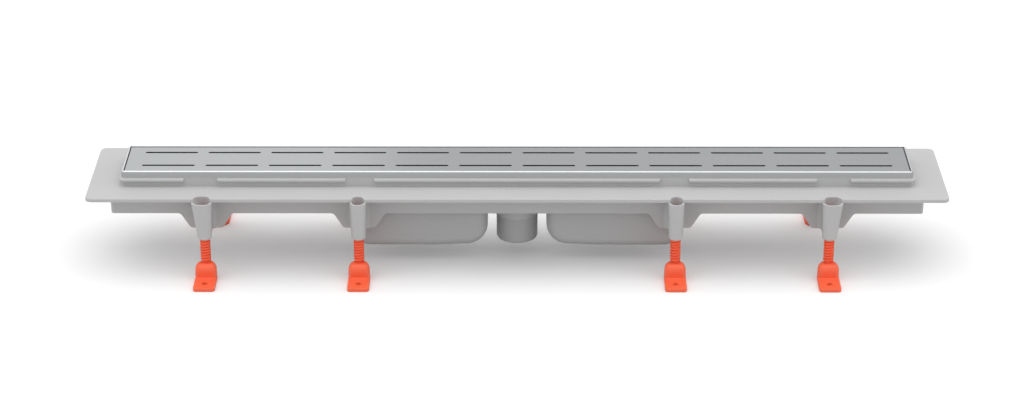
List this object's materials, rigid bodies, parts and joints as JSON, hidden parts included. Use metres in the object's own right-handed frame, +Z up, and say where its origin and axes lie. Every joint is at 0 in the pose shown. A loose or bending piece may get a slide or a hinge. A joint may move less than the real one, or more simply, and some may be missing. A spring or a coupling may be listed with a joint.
{
  "type": "channel drain",
  "caption": "Long shower channel drain: slotted steel grate in a steel rim, grey moulded body with tiling flange, trap bowls, pipe spigot and screw legs.",
  "frame": {"origin": "on the floor under the feet, below the middle of the channel and the axis of the outlet", "axes": "+X along the channel, +Y across it to the rear legs, +Z up"},
  "size_m": [1.029, 0.2318, 0.1228],
  "materials": {
    "grey_moulding": "fine satin polypropylene moulding",
    "rim_steel": "satin stainless sheet",
    "grate_steel": "brushed lengthways",
    "leg_orange": "satin orange moulding",
    "black_rubber": "moulded rubber"
  },
  "bodies": {
    "channel": {"channel_body": "grey_moulding", "rim_frame": "rim_steel", "grate": "grate_steel", "grate_pads": "black_rubber", "trap_bowl_left": "grey_moulding", "trap_insert_left": "grey_moulding", "insert_seal_left": "black_rubber", "trap_bowl_right": "grey_moulding", "trap_insert_right": "grey_moulding", "insert_seal_right": "black_rubber", "outlet_spigot": "grey_moulding"},
    "foot_front_1": {"foot_front_1": "leg_orange"},
    "leg_screw_front_1": {"leg_screw_front_1": "leg_orange"},
    "foot_front_2": {"foot_front_2": "leg_orange"},
    "leg_screw_front_2": {"leg_screw_front_2": "leg_orange"},
    "foot_front_3": {"foot_front_3": "leg_orange"},
    "leg_screw_front_3": {"leg_screw_front_3": "leg_orange"},
    "foot_front_4": {"foot_front_4": "leg_orange"},
    "leg_screw_front_4": {"leg_screw_front_4": "leg_orange"},
    "foot_rear_1": {"foot_rear_1": "leg_orange"},
    "leg_screw_rear_1": {"leg_screw_rear_1": "leg_orange"},
    "foot_rear_2": {"foot_rear_2": "leg_orange"},
    "leg_screw_rear_2": {"leg_screw_rear_2": "leg_orange"},
    "foot_rear_3": {"foot_rear_3": "leg_orange"},
    "leg_screw_rear_3": {"leg_screw_rear_3": "leg_orange"},
    "foot_rear_4": {"foot_rear_4": "leg_orange"},
    "leg_screw_rear_4": {"leg_screw_rear_4": "leg_orange"}
  },
  "joints": [
    {"name": "height_front_1", "type": "slide", "parent": "channel", "child": "foot_front_1", "axis": [0, 0, 1], "range_m": [-0.025, 0.012]},
    {"name": "turn_front_1", "type": "hinge", "parent": "foot_front_1", "child": "leg_screw_front_1", "pos_m": [-0.3733, -0.0764, 0.05], "axis": [0, 0, 1], "range_deg": [-2550, 1250]},
    {"name": "height_front_2", "type": "slide", "parent": "channel", "child": "foot_front_2", "axis": [0, 0, 1], "range_m": [-0.025, 0.012]},
    {"name": "turn_front_2", "type": "hinge", "parent": "foot_front_2", "child": "leg_screw_front_2", "pos_m": [-0.1895, -0.0764, 0.05], "axis": [0, 0, 1], "range_deg": [-2550, 1250]},
    {"name": "height_front_3", "type": "slide", "parent": "channel", "child": "foot_front_3", "axis": [0, 0, 1], "range_m": [-0.025, 0.012]},
    {"name": "turn_front_3", "type": "hinge", "parent": "foot_front_3", "child": "leg_screw_front_3", "pos_m": [0.1895, -0.0764, 0.05], "axis": [0, 0, 1], "range_deg": [-2550, 1250]},
    {"name": "height_front_4", "type": "slide", "parent": "channel", "child": "foot_front_4", "axis": [0, 0, 1], "range_m": [-0.025, 0.012]},
    {"name": "turn_front_4", "type": "hinge", "parent": "foot_front_4", "child": "leg_screw_front_4", "pos_m": [0.3733, -0.0764, 0.05], "axis": [0, 0, 1], "range_deg": [-2550, 1250]},
    {"name": "height_rear_1", "type": "slide", "parent": "channel", "child": "foot_rear_1", "axis": [0, 0, 1], "range_m": [-0.025, 0.012]},
    {"name": "turn_rear_1", "type": "hinge", "parent": "foot_rear_1", "child": "leg_screw_rear_1", "pos_m": [-0.3733, 0.0764, 0.05], "axis": [0, 0, 1], "range_deg": [-2550, 1250]},
    {"name": "height_rear_2", "type": "slide", "parent": "channel", "child": "foot_rear_2", "axis": [0, 0, 1], "range_m": [-0.025, 0.012]},
    {"name": "turn_rear_2", "type": "hinge", "parent": "foot_rear_2", "child": "leg_screw_rear_2", "pos_m": [-0.1895, 0.0764, 0.05], "axis": [0, 0, 1], "range_deg": [-2550, 1250]},
    {"name": "height_rear_3", "type": "slide", "parent": "channel", "child": "foot_rear_3", "axis": [0, 0, 1], "range_m": [-0.025, 0.012]},
    {"name": "turn_rear_3", "type": "hinge", "parent": "foot_rear_3", "child": "leg_screw_rear_3", "pos_m": [0.1895, 0.0764, 0.05], "axis": [0, 0, 1], "range_deg": [-2550, 1250]},
    {"name": "height_rear_4", "type": "slide", "parent": "channel", "child": "foot_rear_4", "axis": [0, 0, 1], "range_m": [-0.025, 0.012]},
    {"name": "turn_rear_4", "type": "hinge", "parent": "foot_rear_4", "child": "leg_screw_rear_4", "pos_m": [0.3733, 0.0764, 0.05], "axis": [0, 0, 1], "range_deg": [-2550, 1250]}
  ],
  "couplings": [
    {"joint": "turn_front_1", "follows": "height_front_1", "rad_per_m": 1745.3},
    {"joint": "turn_front_2", "follows": "height_front_2", "rad_per_m": 1745.3},
    {"joint": "turn_front_3", "follows": "height_front_3", "rad_per_m": 1745.3},
    {"joint": "turn_front_4", "follows": "height_front_4", "rad_per_m": 1745.3},
    {"joint": "turn_rear_1", "follows": "height_rear_1", "rad_per_m": 1745.3},
    {"joint": "turn_rear_2", "follows": "height_rear_2", "rad_per_m": 1745.3},
    {"joint": "turn_rear_3", "follows": "height_rear_3", "rad_per_m": 1745.3},
    {"joint": "turn_rear_4", "follows": "height_rear_4", "rad_per_m": 1745.3}
  ]
}
